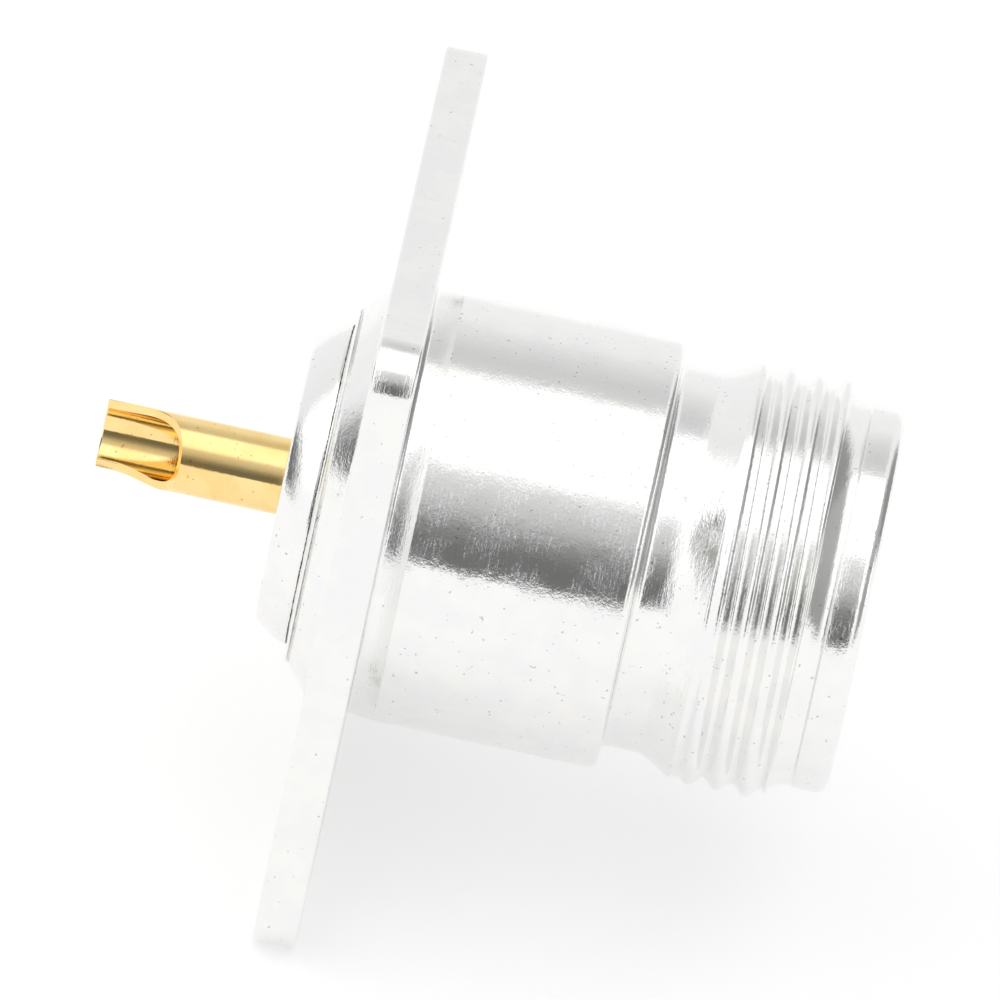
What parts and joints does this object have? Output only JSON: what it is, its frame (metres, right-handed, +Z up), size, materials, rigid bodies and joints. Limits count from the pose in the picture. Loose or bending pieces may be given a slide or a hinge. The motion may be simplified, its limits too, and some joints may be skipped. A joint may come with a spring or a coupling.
{
  "type": "coaxial panel jack",
  "caption": "Threaded coaxial panel jack with a square flange, a slotted socket contact in front and a gold-plated solder cup behind.",
  "frame": {"origin": "centre of the flange's rear face, the face that seats on a panel, on the connector's axis", "axes": "+X along the connector's axis towards the mating end, Y and Z parallel to the flange's sides, +Z up when it is fixed to an upright panel"},
  "size_m": [0.0285, 0.0254, 0.0254],
  "materials": {
    "nickel_body": "bright nickel plate on turned brass",
    "nickel_bushing": "bright nickel plate on turned brass",
    "front_ptfe": "matt white PTFE",
    "rear_ptfe": "matt white PTFE",
    "gold_contact": "gold plate"
  },
  "bodies": {
    "root": {"flanged_body": "nickel_body", "rear_bushing": "nickel_bushing", "front_insulator": "front_ptfe", "rear_insulator": "rear_ptfe", "centre_contact": "gold_contact"}
  },
  "joints": []
}
